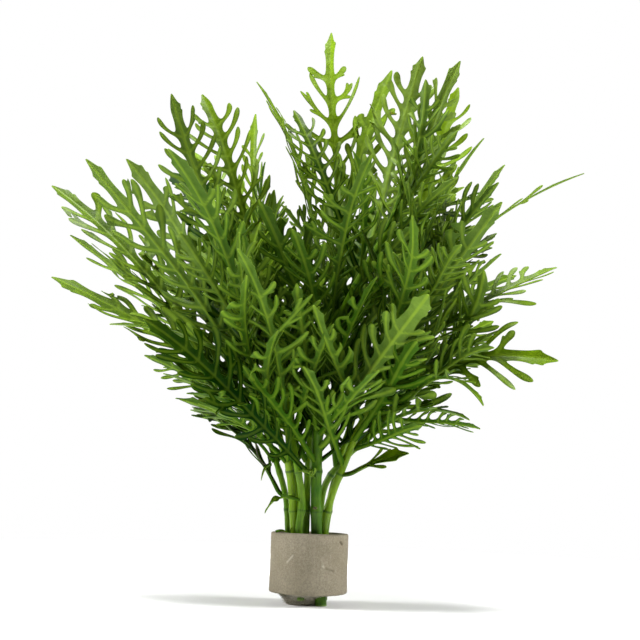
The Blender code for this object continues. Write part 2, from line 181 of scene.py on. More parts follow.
def makeLeafMaterial(name, face):
    material, nodes, links, shader = newMaterial(name, face["roughness"])
    place = objectPlace(nodes)
    tone = attributeNode(nodes, "tone")
    vein = attributeNode(nodes, "vein")
    cloudy = noisePattern(nodes, links, place, leafLook["cloudScale"])
    shifted = arithmetic(nodes, links, "ADD", tone, mapRange(nodes, links, cloudy, 0.3, 0.7, -0.12, 0.12))
    share = arithmetic(nodes, links, "POWER", shifted, leafLook["contrast"])
    base = mixColour(nodes, links, share, face["dark"], face["bright"])
    fine = noisePattern(nodes, links, place, leafLook["speckScale"], 2.0)
    speck = mapRange(nodes, links, fine, 0.35, 0.65, 0.0, leafLook["speckShare"])
    speckled = mixColour(nodes, links, speck, base, mixColour(nodes, links, 0.5, face["dark"], base))
    line = mapRange(nodes, links, vein, *leafLook["veinEdge"], face["veinShare"], 0.0, smooth=True)
    line = arithmetic(nodes, links, "MULTIPLY", line, mapRange(nodes, links, tone, 0.05, 0.6, 0.35, 1.0))
    links.new(mixColour(nodes, links, line, speckled, leafLook["vein"]), shader.inputs["Base Color"])
    links.new(mapRange(nodes, links, tone, 0.1, 0.8, *leafLook["sheen"]), shader.inputs["Specular IOR Level"])
    addBump(nodes, links, shader, cloudy, leafLook["bump"])
    addScatter(shader, 0.1, (0.8, 1.0, 0.25), 0.0012)
    return material


leafUpper = makeLeafMaterial("leafUpper", leafLook["upper"])
leafUnder = makeLeafMaterial("leafUnderside", leafLook["under"])


# Leaf patterns: flat leaves in millimetres, stalk at the origin and tip along X
patternColumns = ("length", "pairs", "stalk", "tip", "reach", "lobeWidth", "wing", "tipHalf", "headings",
                  "branches", "teeth", "seed", "curl", "smoothing")
patternRows = {  # stalk and tip are shares of the length, headings the angles at a lobe's root and end
    "long": (100, 9, 0.14, 0.14, 11, 2.5, (0.9, 2.2), 2.2, (46, 16), 1, 6, 3, 1.0, 2),
    "fine": (88, 9, 0.16, 0.14, 10, 2.0, (0.8, 1.8), 1.8, (46, 18), 1, 5, 12, 1.0, 2),
    "broad": (80, 7, 0.14, 0.2, 10, 2.7, (1.1, 2.9), 2.6, (44, 16), 0, 6, 5, 1.0, 2),
    "open": (90, 7, 0.18, 0.16, 13, 2.2, (0.8, 1.8), 2.1, (58, 26), 2, 3, 31, 2.0, 2),
    "short": (56, 5, 0.16, 0.22, 9, 2.1, (0.8, 1.9), 2.0, (46, 20), 0, 5, 8, 1.0, 2),
    "small": (44, 4, 0.2, 0.28, 8, 2.0, (0.8, 1.6), 2.0, (46, 24), 0, 2, 40, 1.0, 2),
    "narrow": (64, 7, 0.2, 0.2, 6, 1.5, (0.7, 1.2), 1.4, (36, 14), 0, 2, 21, 1.0, 2),
    "young": (28, 3, 0.16, 0.4, 5, 1.6, (0.8, 1.5), 1.9, (38, 20), 0, 1, 2, 1.0, 2),
    "sprigLong": (60, 6, 0.18, 0.18, 9, 1.9, (0.8, 1.7), 1.8, (46, 18), 0, 4, 51, 1.0, 1),
    "sprigWide": (52, 5, 0.18, 0.2, 10, 2.2, (0.8, 1.9), 2.1, (50, 22), 0, 3, 62, 1.0, 1),
    "sprigShort": (42, 4, 0.16, 0.26, 8, 1.9, (0.7, 1.6), 1.8, (44, 18), 0, 3, 73, 1.0, 1),
    "hanging": (50, 3, 0.16, 0.34, 15, 3.0, (1.2, 2.4), 2.8, (46, 32), 0, 2, 9, 1.0, 2),
    "spare": (30, 1, 0.34, 0.5, 5, 1.7, (1.0, 1.5), 2.7, (40, 20), 0, 0, 6, 1.0, 2),
    "ribbon": (32, 0, 0.2, 0.8, 0, 2.0, (1.0, 1.4), 1.7, (40, 30), 0, 0, 4, 1.0, 2),
}
leafPatterns = {name: dict(zip(patternColumns, row)) for name, row in patternRows.items()}
midribHabit = {"stalk": ((0, 1.15), (0.5, 0.95), (1, 1.0)), "lobeRoot": 1.15, "rootLimit": 0.42,
               "spread": 0.1, "end": ((0.72, 0.82), (0.5, 1.0), (0.28, 0.74), (0.1, 0.36)), "tipHalf": 0.3}
lobeHabit = {"bendsAt": (0, 0.3, 0.7, 1), "lengths": (0.25, 0.3, 0.27, 0.18),
             "widths": (0.62, 0.74, 1.0, 0.3), "fullness": (0.72, 1.14), "widthSpread": (0.8, 1.15),
             "rootSpread": (-8, 6), "endSpread": (-11, 15), "twigReach": (0.2, 0.27),
             "twig": ((0.45, 0.6), (0.35, 0.66), (0.2, 0.24)), "twigTurns": (34, -26),
             "tooth": (0.62, 0.3), "toothTurns": (30, -20)}
endTeeth = {"places": ((0.61, 1.0), (0.39, 0.8)), "chance": 0.8, "heading": 30, "size": (0.6, 0.26)}
leafSheet = {"thickness": 0.3, "ribHeight": 0.85, "ribHalfWidth": 1.05, "groove": 0.16, "fold": 0.12,
             "foldWidth": 1.4}


def pickOpenEdge(piece, place):
    bpy.ops.mesh.select_all(action="DESELECT")
    shape = bmesh.from_edit_mesh(piece.data)
    openEdges = [edge for edge in shape.edges if edge.is_boundary]
    nearest = min(openEdges, key=lambda edge: (edge.verts[0].co + edge.verts[1].co - 2 * place).length)
    nearest.select_set(True)
    bmesh.update_edit_mesh(piece.data)
    return (nearest.verts[0].co + nearest.verts[1].co) / 2


def squareRow(piece, direction, width):
    # Turns the selected edge square to a direction and gives it a width
    shape = bmesh.from_edit_mesh(piece.data)
    first, second = [vertex.co.copy() for vertex in shape.verts if vertex.select]
    middle = (first + second) / 2
    run = second - first
    across = Vector((-direction.y, direction.x, 0))
    if run.dot(across) < 0:
        across = -across
    turn = math.atan2(across.y, across.x) - math.atan2(run.y, run.x)
    bpy.ops.transform.rotate(value=-turn, orient_axis="Z", center_override=middle)
    bpy.ops.transform.resize(value=[width / run.length] * 3, center_override=middle)
    return middle


def growLobe(piece, root, steps):
    # Extrudes the open edge nearest to a place, row by row; a step is a direction, a length and a width
    path = [pickOpenEdge(piece, root)]
    for direction, length, width in steps:
        bpy.ops.mesh.extrude_edges_move(TRANSFORM_OT_translate={"value": direction * length})
        path.append(squareRow(piece, direction, width))
    return path


def modelMidrib(name, rows):
    # The winged midrib: one cell on each side, drawn out from the stalk to the tip
    (_, startHalf), (first, firstHalf) = rows[:2]
    bpy.ops.object.select_all(action="DESELECT")
    bpy.ops.mesh.primitive_grid_add(x_subdivisions=1, y_subdivisions=2, size=2, enter_editmode=True)
    piece = bpy.context.object
    piece.name = name
    bpy.ops.transform.resize(value=(first / 2, startHalf, 1), center_override=(0, 0, 0))
    bpy.ops.transform.translate(value=(first / 2, 0, 0))
    bpy.ops.mesh.select_mode(type="EDGE")
    bpy.ops.mesh.select_all(action="DESELECT")
    shape = bmesh.from_edit_mesh(piece.data)
    for edge in shape.edges:
        edge.select_set(all(vertex.co.x > first / 2 for vertex in edge.verts))
    bmesh.update_edit_mesh(piece.data)
    bpy.ops.transform.resize(value=(1, firstHalf / startHalf, 1), center_override=(first, 0, 0))
    for (before, halfBefore), (place, half) in zip(rows[1:], rows[2:]):
        bpy.ops.mesh.extrude_edges_move(TRANSFORM_OT_translate={"value": (place - before, 0, 0)})
        bpy.ops.transform.resize(value=(1, half / halfBefore, 1), center_override=(place, 0, 0))
    return piece


def midribRows(settings, draw):
    # Places and half widths along the midrib, and the middle, half width and share of each pair of lobes
    length, pairs, half = settings["length"], settings["pairs"], settings["tipHalf"]
    stalk, tip = settings["stalk"] * length, settings["tip"] * length
    low, high = settings["wing"]
    rows = [(stalk * share, width) for share, width in midribHabit["stalk"]]
    lobes = []
    for pair in range(pairs):
        pitch = (length - stalk - tip) / pairs
        root = min(settings["lobeWidth"] * midribHabit["lobeRoot"], midribHabit["rootLimit"] * pitch)
        share = (pair + 0.5) / pairs
        wing = low + (high - low) * share ** 1.4
        spread = midribHabit["spread"]
        start = stalk + pitch * (pair + 0.3 + draw.uniform(-spread, spread))
        rows += [(start, wing * 0.95), (start + root, wing * 1.05)]
        lobes.append((start + root / 2, wing, share))
    rows += [(length - tip * back, half * width) for back, width in midribHabit["end"]]
    return rows + [(length, midribHabit["tipHalf"])], lobes


def growTwig(piece, path, angles, side, edgeSide, row, long, wide, twigged, draw):
    # A twig, or on a plainer lobe a tooth, on one edge of a lobe
    centre = (path[row] + path[row + 1]) / 2
    direction = heading(angles[row], side)
    outward = Vector((direction.y, -direction.x, 0)) * edgeSide * side
    rearTurn, frontTurn = lobeHabit["twigTurns" if twigged else "toothTurns"]
    turn = heading(angles[row] + (rearTurn if outward.x < 0 else frontTurn), side)
    if twigged:
        far = draw.uniform(*lobeHabit["twigReach"]) * long
        steps = [(turn, far * part, wide * width) for part, width in lobeHabit["twig"]]
    else:
        toothLength, toothWidth = lobeHabit["tooth"]
        steps = [(turn, wide * toothLength, wide * toothWidth)]
    twig = growLobe(piece, centre + outward * wide * 0.5, steps)
    return [tuple(centre[:2])] + [tuple(point[:2]) for point in twig]


def growEndTeeth(piece, settings, draw):
    length, half = settings["length"], settings["tipHalf"]
    far, width = endTeeth["size"]
    for side in (1, -1):
        for share, size in endTeeth["places"]:
            if settings["pairs"] and draw.random() < endTeeth["chance"]:
                root = Vector((length - settings["tip"] * length * share, side * half * 0.9, 0))
                growLobe(piece, root, [(heading(endTeeth["heading"], side), half * far * size, half * width)])


def modelLeafPattern(name, settings):
    draw = random.Random(settings["seed"])
    pairs = settings["pairs"]
    rows, lobes = midribRows(settings, draw)
    piece = modelMidrib(name, rows)
    veins = [[(0, 0), (settings["length"], 0)]]
    owners = [-1]
    toothed = set(draw.sample(range(2 * pairs), settings["teeth"] if pairs else 0))
    free = [number for number in range(2 * pairs) if (number // 2 + number) % 2]  # every other lobe of a side
    free.sort(key=lambda number: abs(number - pairs + 0.5 + draw.uniform(-1.5, 1.5)))
    branched = set(free[: settings["branches"] * 2])
    curl = settings["curl"]
    for number in range(2 * pairs):
        place, wing, share = lobes[number // 2]
        side = 1 if number % 2 else -1
        full = math.sin(math.pi * (0.22 + 0.6 * share)) * draw.uniform(*lobeHabit["fullness"])
        first = settings["headings"][0] + draw.uniform(*lobeHabit["rootSpread"]) * curl
        last = settings["headings"][1] + draw.uniform(*lobeHabit["endSpread"]) * curl
        long = (settings["reach"] * full - wing) / math.sin(math.radians((first + last) / 2))
        wide = settings["lobeWidth"] * draw.uniform(*lobeHabit["widthSpread"])
        wide *= 0.62 + 0.25 * full + 0.35 * share
        angles = [first + (last - first) * part for part in lobeHabit["bendsAt"]]
        steps = [(heading(angle, side), long * part, width * wide)
                 for angle, part, width in zip(angles, lobeHabit["lengths"], lobeHabit["widths"])]
        path = growLobe(piece, Vector((place, side * wing, 0)), steps)
        veins.append([(place - wing * 0.8, 0)] + [tuple(point[:2]) for point in path])
        owners.append(number)
        twigged = number in branched
        if twigged:
            twigs = ((1, 2), (-1, 1))
        else:  # drawn for every plain lobe, grown on the toothed ones
            twigs = ((draw.choice((1, -1)), draw.choice((1, 2))),)
        if twigged or number in toothed:
            for edgeSide, row in twigs:
                vein = growTwig(piece, path, angles, side, edgeSide, row, long, wide, twigged, draw)
                if twigged:
                    veins.append(vein)
                    owners.append(number)
    growEndTeeth(piece, settings, draw)
    bpy.ops.object.mode_set(mode="OBJECT")
    smooth = piece.modifiers.new("smooth", "SUBSURF")
    smooth.levels = smooth.render_levels = settings["smoothing"]
    bpy.ops.object.modifier_apply(modifier="smooth")
    return piece, veins, owners


def distanceToPath(places, path):
    nearest = np.full(len(places), 1e9)
    for first, second in zip(np.array(path[:-1]), np.array(path[1:])):
        run = second - first
        share = np.clip((places - first) @ run / (run @ run), 0, 1)
        nearest = np.minimum(nearest, np.linalg.norm(places - first - share[:, None] * run, axis=1))
    return nearest


def finishLeafPattern(piece, veins, owners, settings):
    # Gives the flat leaf its two faces, the raised midrib below and the groove above
    piece.data.materials.append(leafUpper)
    piece.data.materials.append(leafUnder)
    onlyActive(piece)
    sheet = piece.modifiers.new("sheet", "SOLIDIFY")
    sheet.thickness = leafSheet["thickness"]
    sheet.offset = 0
    sheet.material_offset = 1
    sheet.material_offset_rim = 1
    bpy.ops.object.modifier_apply(modifier="sheet")
    bpy.ops.object.shade_smooth_by_angle(angle=math.radians(45))
    places = readPlaces(piece.data)
    distances = np.array([distanceToPath(places[:, :2], path) for path in veins])
    number = np.full(len(places), -1)
    if len(veins) > 1:
        number = np.array(owners)[distances[1:].argmin(axis=0) + 1]
    share = places[:, 0] / settings["length"]
    half = leafSheet["ribHalfWidth"] * np.clip(1.15 - 0.85 * share, 0.3, 1.1)
    ridge = np.sqrt(np.clip(1 - (places[:, 1] / half) ** 2, 0, 1))
    ridge = ridge * leafSheet["ribHeight"] * (1.1 - 0.95 * share)
    below = places[:, 2] < 0
    places[:, 2] -= np.where(below, ridge, leafSheet["groove"] * ridge)
    places[:, 2] += leafSheet["fold"] * np.minimum(distances.min(axis=0), leafSheet["foldWidth"])
    writePlaces(piece.data, places)
    return {"mesh": piece.data, "places": places, "vein": distances.min(axis=0), "lobe": number,
            "length": settings["length"], "half": np.abs(places[:, 1]).max(), "wing": settings["wing"][1],
            "lobes": 2 * settings["pairs"]}


patterns = {}
for patternName, patternSettings in leafPatterns.items():
    modelled, veinPaths, veinOwners = modelLeafPattern("pattern_" + patternName, patternSettings)
    patterns[patternName] = finishLeafPattern(modelled, veinPaths, veinOwners, patternSettings)
    bpy.data.objects.remove(modelled)
print("Leaf patterns modelled:", len(patterns))


# Stems: radius and the points that part.py's stems follow, in millimetres
stems = {
    "stem_main": (2.6, [(6, -5, 0), (5, -5, 12), (3, -6, 31), (2, -8, 60), (3, -12, 96), (7, -15, 120),
                        (15, -18, 138), (22, -20, 152), (33, -22, 172), (43, -21, 192)]),
    "stem_left": (2.0, [(-5, -4, 1.5), (-7, -5, 31), (-10, -9, 58), (-15, -13, 72), (-22, -18, 90),
                        (-33, -26, 117), (-43, -30, 143)]),
    "stem_front_left": (1.7, [(-3, -8, 2.5), (-5, -9, 31), (-4, -10, 45), (-7, -13, 62), (-12, -11, 84),
                              (-15, -6, 108), (-20, -2, 135), (-25, -2, 160)]),
    "stem_right": (1.9, [(7, 1, 2), (6, -2, 31), (9, -3, 47), (14, -5, 61), (23, -8, 84), (36, -16, 110),
                         (48, -24, 138), (55, -27, 156)]),
    "stem_low_right": (1.7, [(2, 3, 2.5), (4, 3, 34), (6, 3, 52), (14, 0, 64), (26, -4, 76), (40, -9, 90),
                             (54, -13, 104), (62, -15, 113)]),
    "stem_back_left": (1.5, [(-8, 1, 2), (-10, 1, 32), (-12, 2, 48), (-19, 5, 68), (-30, 13, 94),
                             (-45, 22, 124), (-54, 27, 142)]),
    "stem_back_centre": (1.8, [(-3, 1, 1.5), (-2, 4, 32), (-2, 6, 56), (-1, 10, 84), (3, 16, 113),
                               (9, 24, 148), (15, 29, 176)]),
    "stem_back_right": (1.8, [(5, 6, 2), (7, 7, 32), (11, 11, 56), (19, 19, 86), (30, 30, 120), (42, 40, 154),
                              (50, 46, 180)]),
    "stem_rear_left": (1.8, [(-4, 7, 2), (-5, 8, 32), (-8, 13, 58), (-14, 23, 88), (-21, 35, 120),
                             (-27, 45, 152), (-31, 51, 176)]),
}
stemHabit = {"samples": 40, "step": 1.5, "sides": 20, "taper": 0.5, "node": 17.5, "firstNode": 41.0,
             "lastNode": 6.0, "swelling": 0.2, "swellingHalf": 1.3, "tipTone": 0.35}
stemTones = {"stem_main": 0.1, "stem_left": 0.5, "stem_front_left": 0.25, "stem_right": 0.45,
             "stem_low_right": 0.25, "stem_back_left": 0.2, "stem_back_centre": 0.3, "stem_back_right": 0.4,
             "stem_rear_left": 0.4}


def smoothRoute(points, samples):
    # A smooth curve through the points, then points at even steps along it
    points = np.array(points, float)
    padded = np.vstack([2 * points[0] - points[1], points, 2 * points[-1] - points[-2]])
    route = []
    for before, start, end, after in zip(padded, padded[1:], padded[2:], padded[3:]):
        t = np.linspace(0, 1, samples, endpoint=False)[:, None]
        square = 2 * before - 5 * start + 4 * end - after
        cube = 3 * start - before - 3 * end + after
        route.append(0.5 * (2 * start + (end - before) * t + square * t ** 2 + cube * t ** 3))
    route = np.vstack(route + [points[-1:]])
    run = np.concatenate([[0], np.cumsum(np.linalg.norm(np.diff(route, axis=0), axis=1))])
    stations = np.linspace(0, run[-1], int(run[-1] / stemHabit["step"]) + 1)
    return stations, np.column_stack([np.interp(stations, run, route[:, axis]) for axis in range(3)])


def treeOf(points):
    tree = kdtree.KDTree(len(points))
    for index, point in enumerate(points):
        tree.insert(point, index)
    tree.balance()
    return tree


leafHabit = {
    "midribHalf": 2.6, "sink": 0.85, "sinkLength": 5.0,  # the stalk's end is drawn into the stem
    "widthLimits": (0.8, 1.25), "lift": 0.42, "swing": 0.18, "growth": (0.82, 1.16), "cup": (0.02, 0.3),
    "droop": (-0.02, 0.05), "droopFrom": 0.45, "twist": 26, "twistFrom": 0.25, "sway": 0.022,
    # Along each leaf the tone rises from the stalk to the tip: the paler tips are young growth, and the
    # darker stalk ends are in part painted shade deep in the bunch
    "ripple": 1.1, "rippleLow": 0.2, "rippleRate": 0.42, "tipPaleBaseShade": 0.46, "tipPaleBaseShadeFrom": 0.6,
}


def readLeafPlace(node):
    # A leaf's place, read from its solid
    points = np.unique(np.round(readPlaces(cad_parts[node].data) / mm, 3), axis=0)
    gaps = np.linalg.norm(points[:, None] - points[None, :], axis=2)
    ends = []
    for index in np.unravel_index(gaps.argmax(), gaps.shape):
        corners = points[np.argsort(gaps[index])[:4]]
        middle = corners.mean(axis=0)
        width, across = np.linalg.svd(corners - middle)[1:]
        ends.append((width[0], middle, across[0]))
    (_, tip, _), (_, base, across) = sorted(ends, key=lambda end: end[0])  # the tip is the narrower end
    length = np.linalg.norm(tip - base)
    along = (tip - base) / length
    across = across - along * (across @ along)
    across /= np.linalg.norm(across)
    upper = np.cross(along, across)
    rise = (points - base) @ upper
    if rise.mean() < 0:
        upper, across, rise = -upper, -across, -rise
    share = (points - base) @ along / length
    lateral = np.abs((points - base) @ across)
    midrib = lateral < leafHabit["midribHalf"]
    bow = 4 * share * (1 - share)
    arch = float((rise * bow)[midrib].sum() / (bow ** 2)[midrib].sum()) / length
    return {"base": base, "tip": tip, "length": length, "along": along, "across": across, "upper": upper,
            "arch": arch, "half": lateral.max()}


def bentSheet(x, y, number, place, pattern, bend):
    # Where a point of the flat leaf lies once the leaf is bent, twisted and its lobes are lifted
    length = place["length"]
    stretch = length / pattern["length"]
    outward = np.maximum(np.abs(y) - pattern["wing"], 0)
    narrowest, widest = leafHabit["widthLimits"]
    wide = np.clip(place["half"] / pattern["half"], narrowest * stretch, widest * stretch)
    lift, swing, grow = (bend[name][number] for name in ("lift", "swing", "grow"))
    x = x + swing * outward
    reach = np.minimum(np.abs(y), pattern["wing"]) + outward * grow
    side = np.sign(y) * reach * wide
    share = x / pattern["length"]
    inside = np.clip(share, 0, 1)
    late = np.clip((inside - leafHabit["droopFrom"]) / (1 - leafHabit["droopFrom"]), 0, 1)
    rise = 4 * place["arch"] * length * inside * (1 - inside) - bend["droop"] * length * late ** 2
    sway = bend["sway"] * length * np.sin(math.tau * inside) * inside
    sway += bend["bow"] * length * inside * (1 - inside)
    angle = bend["twist"] * (inside - leafHabit["twistFrom"])
    wave = np.sin(leafHabit["rippleRate"] * x + bend["phase"] + 1.7 * np.sign(y))
    ripple = bend["ripple"] * wave * reach / pattern["half"]
    height = bend["cup"] * np.abs(side) + lift * outward ** 2 / pattern["half"] * wide + ripple
    alongSide = side * np.cos(angle) - height * np.sin(angle) + sway
    alongUpper = side * np.sin(angle) + height * np.cos(angle) + rise
    sunk = np.clip(1 - share * length / leafHabit["sinkLength"], 0, 1.2) ** 2
    return (place["base"] + np.outer(share * length, place["along"]) + np.outer(alongSide, place["across"])
            + np.outer(alongUpper, place["upper"]) + np.outer(sunk, place["sink"]))


def drawBend(seed, pattern, **given):
    draw = np.random.default_rng(seed)
    count = pattern["lobes"] + 1  # the last entry is for what belongs to no lobe
    bend = {}
    bend["lift"] = draw.normal(0, leafHabit["lift"], count)
    bend["swing"] = draw.normal(0, leafHabit["swing"], count)
    bend["grow"] = draw.uniform(*leafHabit["growth"], count)
    bend["cup"] = draw.uniform(*leafHabit["cup"])
    bend["droop"] = draw.uniform(*leafHabit["droop"])
    bend["twist"] = math.radians(draw.uniform(-1, 1) * leafHabit["twist"])
    bend["sway"] = draw.uniform(-1, 1) * leafHabit["sway"]
    bend["ripple"] = draw.uniform(leafHabit["rippleLow"], 1) * leafHabit["ripple"]
    bend["phase"] = draw.uniform(0, math.tau)
    bend["bow"], bend["rib"] = 0.0, 1.0
    bend["lift"] += given.pop("curl", 0.0)
    bend.update(given)
    return bend


def bendLeaf(pattern, place, bend, tone):
    # A copy of the pattern's mesh, bent on its place, with its tone
    mesh = pattern["mesh"].copy()
    x, y, z = pattern["places"].T
    number = pattern["lobe"]
    step = 0.05  # millimetres, to find the normal of the bent leaf
    centre = bentSheet(x, y, number, place, pattern, bend)
    ahead = bentSheet(x + step, y, number, place, pattern, bend) - centre
    beside = bentSheet(x, y + step * np.where(y < 0, -1, 1), number, place, pattern, bend) - centre
    normal = np.cross(ahead, beside) * np.where(y < 0, -1, 1)[:, None]
    normal /= np.linalg.norm(normal, axis=1)[:, None]
    bent = (centre + normal * z[:, None]) * mm
    writePlaces(mesh, bent)
    addAttribute(mesh, "vein", pattern["vein"] / bend["rib"])
    # Tone darker at the stalk and paler at the tip; the darkening towards the stalk is partly painted shade
    # inside the bunch
    share = np.clip(x / pattern["length"], 0, 1)
    addAttribute(mesh, "tone", np.clip(tone + leafHabit["tipPaleBaseShade"] * (share - leafHabit["tipPaleBaseShadeFrom"]), 0, 1))
    return mesh


# Leaves: pattern and tone of each one, from dark green at 0 to yellow-green at 1, and how it bends
leaves = {
    "leaf_left_long": ("long", 0.55, {}),
    "leaf_left_spread": ("broad", 0.5, {}),
    "leaf_left_front": ("open", 0.36, {}),
    "leaf_left_low": ("fine", 0.34, {}),
    "leaf_left_inner": ("broad", 0.36, {}),
    "leaf_left_top": ("fine", 0.58, {}),
    "leaf_front_left_top": ("fine", 0.6, {}),
    "leaf_front_left_dark": ("broad", 0.1, {}),
    "leaf_front_left_low_dark": ("broad", 0.15, {}),
    "leaf_front_left_pale": ("open", 0.4, {"rib": 1.4}),
    "leaf_front_left_tip": ("short", 0.15, {}),
    "leaf_curled": ("ribbon", 0.4, {}),
    "leaf_main_centre": ("open", 0.28, {"curl": 0.5, "rib": 1.7}),
    "leaf_main_long_stalk": ("broad", 0.55, {}),
    "leaf_main_dark": ("long", 0.12, {}),
    "leaf_main_inner": ("short", 0.26, {}),
    "leaf_main_front": ("open", 0.34, {}),
    "leaf_main_pale": ("short", 0.8, {}),
    "leaf_main_high": ("long", 0.85, {}),
    "leaf_main_left": ("fine", 0.34, {}),
    "leaf_right_low": ("spare", 0.62, {"twist": 0.2}),
    "leaf_right_front": ("long", 0.32, {}),
    "leaf_right_pale": ("broad", 0.5, {}),
    "leaf_right_high": ("open", 0.62, {}),
    "leaf_right_narrow": ("broad", 0.5, {}),
    "leaf_right_spread": ("fine", 0.6, {}),
    "leaf_low_right_under": ("short", 0.3, {}),
    "leaf_drooping": ("hanging", 0.66, {"bow": 0.3, "twist": 0.2, "rib": 1.3}),
    "leaf_low_right_hanging": ("short", 0.4, {}),
    "leaf_low_right_back": ("open", 0.45, {}),
    "leaf_back_left_long": ("long", 0.52, {}),
    "leaf_back_left_edge": ("fine", 0.55, {}),
    "leaf_back_left_rear": ("open", 0.5, {}),
    "leaf_back_left_low": ("short", 0.35, {}),
    "leaf_back_left_top": ("broad", 0.65, {}),
    "leaf_top": ("open", 0.85, {}),
    "leaf_back_centre_left": ("long", 0.55, {}),
    "leaf_back_centre_right": ("broad", 0.62, {}),
    "leaf_back_centre_rear": ("long", 0.6, {}),
    "leaf_back_right_top": ("fine", 0.8, {}),
    "leaf_back_right_high": ("broad", 0.7, {}),
    "leaf_back_right_edge": ("narrow", 0.65, {}),
    "leaf_back_right_low": ("long", 0.4, {}),
    "leaf_back_right_rear": ("open", 0.55, {}),
    "leaf_rear_left_thin": ("narrow", 0.7, {}),
    "leaf_rear_left_back": ("long", 0.55, {}),
    "leaf_rear_left_high": ("fine", 0.65, {}),
    "leaf_rear_low": ("open", 0.3, {}),
    "leaf_withered": ("small", 0.5, {"twist": 2.6, "cup": 0.5}),
}


def looseLeaf(name, patternName, place, tone, seed, **given):
    pattern = patterns[patternName]
    mesh = bendLeaf(pattern, place, drawBend(seed, pattern, **given), tone)
    piece = bpy.data.objects.new(name, mesh)
    bpy.context.scene.collection.objects.link(piece)
    return piece


def makeLeaf(node, patternName, tone, given, seed):
    place = readLeafPlace(node)
    place["sink"] = (np.array(stemTree.find(place["base"])[0]) - place["base"]) * leafHabit["sink"]
    keepPiece(looseLeaf(node + "_blade", patternName, place, tone, seed, **given), "leaf", node)


stemTree = treeOf(np.vstack([smoothRoute(points, stemHabit["samples"])[1] for _, points in stems.values()]))
firstLeafSeed = 100
for leafNumber, (leafName, (leafPattern, leafTone, leafGiven)) in enumerate(leaves.items()):
    makeLeaf(leafName, leafPattern, leafTone, leafGiven, firstLeafSeed + leafNumber)
print("Leaves placed:", len(leaves))


def nodeRuns(run, route):
    # Where a stem's joints lie: the first one just above the ring, then one every node length
    first = float(np.interp(stemHabit["firstNode"], route[:, 2], run))
    return np.arange(first, run[-1] - stemHabit["lastNode"], stemHabit["node"])


def makeTube(name, route, radii, sides):
    # A curve with a round bevel, made a mesh in metres
    curve = bpy.data.curves.new(name, "CURVE")
    curve.dimensions = "3D"
    curve.bevel_depth = mm
    curve.bevel_resolution = sides // 4 - 1
    curve.use_fill_caps = True
    spline = curve.splines.new("POLY")
    spline.points.add(len(route) - 1)
    for point, place, radius in zip(spline.points, route, radii):
        point.co = (*(place * mm), 1)
        point.radius = radius
    piece = bpy.data.objects.new(name, curve)
    bpy.context.scene.collection.objects.link(piece)
    onlyActive(piece)
    bpy.ops.object.convert(target="MESH")
    bpy.ops.object.mode_set(mode="EDIT")
    bpy.ops.mesh.select_all(action="SELECT")
    bpy.ops.mesh.remove_doubles(threshold=0.00001)
    bpy.ops.mesh.normals_make_consistent(inside=False)
    bpy.ops.object.mode_set(mode="OBJECT")
    bpy.ops.object.shade_smooth_by_angle(angle=math.radians(50))
    return piece


def nearestRun(places, run, route):
    tree = treeOf(route)
    return np.array([run[tree.find(place)[1]] for place in places])


def joinPieces(piece, others):
    onlyActive(piece)
    for other in others:
        other.select_set(True)
    bpy.ops.object.join()


def placeFrom(base, along, upper, length, half, arch):
    along = along / np.linalg.norm(along)
    upper = upper - along * (upper @ along)
    upper /= np.linalg.norm(upper)
    return {"base": base, "tip": base + along * length, "length": length, "along": along,
            "across": np.cross(upper, along), "upper": upper, "arch": arch, "half": half, "sink": np.zeros(3)}


youngHabit = {"count": 3, "length": 24.0, "shorter": 0.12, "lean": 26.0, "back": 2.0, "spacing": 1.3,
              "half": 4.6, "arch": 0.05, "tone": 0.75}


def youngLeaves(name, route, settings):
    # The small folded leaves at a stem's tip, where the solid has its coarse ones
    direction = Vector(route[-1] - route[-2]).normalized()
    across = direction.orthogonal().normalized()
    lean = math.radians(settings["lean"])
    made = []
    for number in range(settings["count"]):
        out = Matrix.Rotation(number * math.tau / settings["count"], 3, direction) @ across
        along = np.array(direction * math.cos(lean) + out * math.sin(lean))
        base = route[-1] - np.array(direction) * (settings["back"] + settings["spacing"] * number)
        length = settings["length"] * (1 - settings["shorter"] * number)
        upper = np.array(direction * math.sin(lean) - out * math.cos(lean))
        place = placeFrom(base, along, upper, length, settings["half"], settings["arch"])
        made.append(looseLeaf(name + "_young", "young", place, settings["tone"], len(name) * 7 + number))
    return made


# The brown scar that a fallen leaf left on the front of the main stem; its skin is the dark root's too
scar = {"stem": "stem_main", "size": (1.05, 0.4, 0.7), "place": (-0.5, 0.12, 0.3), "hollow": 0.3,
        "hollowWidth": 0.12, "brown": (0.030, 0.022, 0.006), "pale": (0.130, 0.125, 0.030),
        "dark": (0.012, 0.010, 0.004)}


def makeScar(run, route, radii, joint, settings):
    index = int(np.searchsorted(run, joint))
    bpy.ops.object.select_all(action="DESELECT")
    bpy.ops.mesh.primitive_uv_sphere_add(segments=24, ring_count=12, radius=1.0, enter_editmode=True)
    piece = bpy.context.object
    bpy.ops.transform.resize(value=settings["size"], center_override=(0, 0, 0))
    bpy.ops.object.mode_set(mode="OBJECT")
    places = readPlaces(piece.data)
    middle = np.exp(-(places[:, 0] ** 2 + places[:, 2] ** 2) / settings["hollowWidth"])
    hollow = middle * (places[:, 1] < 0)
    places[:, 1] += settings["hollow"] * hollow
    x, y, z = settings["place"]
    writePlaces(piece.data, (places + route[index] + (x, y - radii[index], z)) * mm)
    addAttribute(piece.data, "tone", 0.25 - 0.2 * hollow)
    bpy.ops.object.shade_smooth()
    piece.data.materials.append(scarSkin)
    return piece


def makeScarMaterial(settings):
    material, nodes, links, shader = newMaterial("scarSkin", 0.7)
    rough = noisePattern(nodes, links, objectPlace(nodes), 1500.0)
    share = mapRange(nodes, links, rough, 0.35, 0.6, 0.0, 1.0)
    brown = mixColour(nodes, links, share, settings["brown"], settings["pale"])
    dark = mapRange(nodes, links, attributeNode(nodes, "tone"), 0.08, 0.22, 0.8, 0.0)
    links.new(mixColour(nodes, links, dark, brown, settings["dark"]), shader.inputs["Base Color"])
    addBump(nodes, links, shader, rough, 0.0002)
    return material


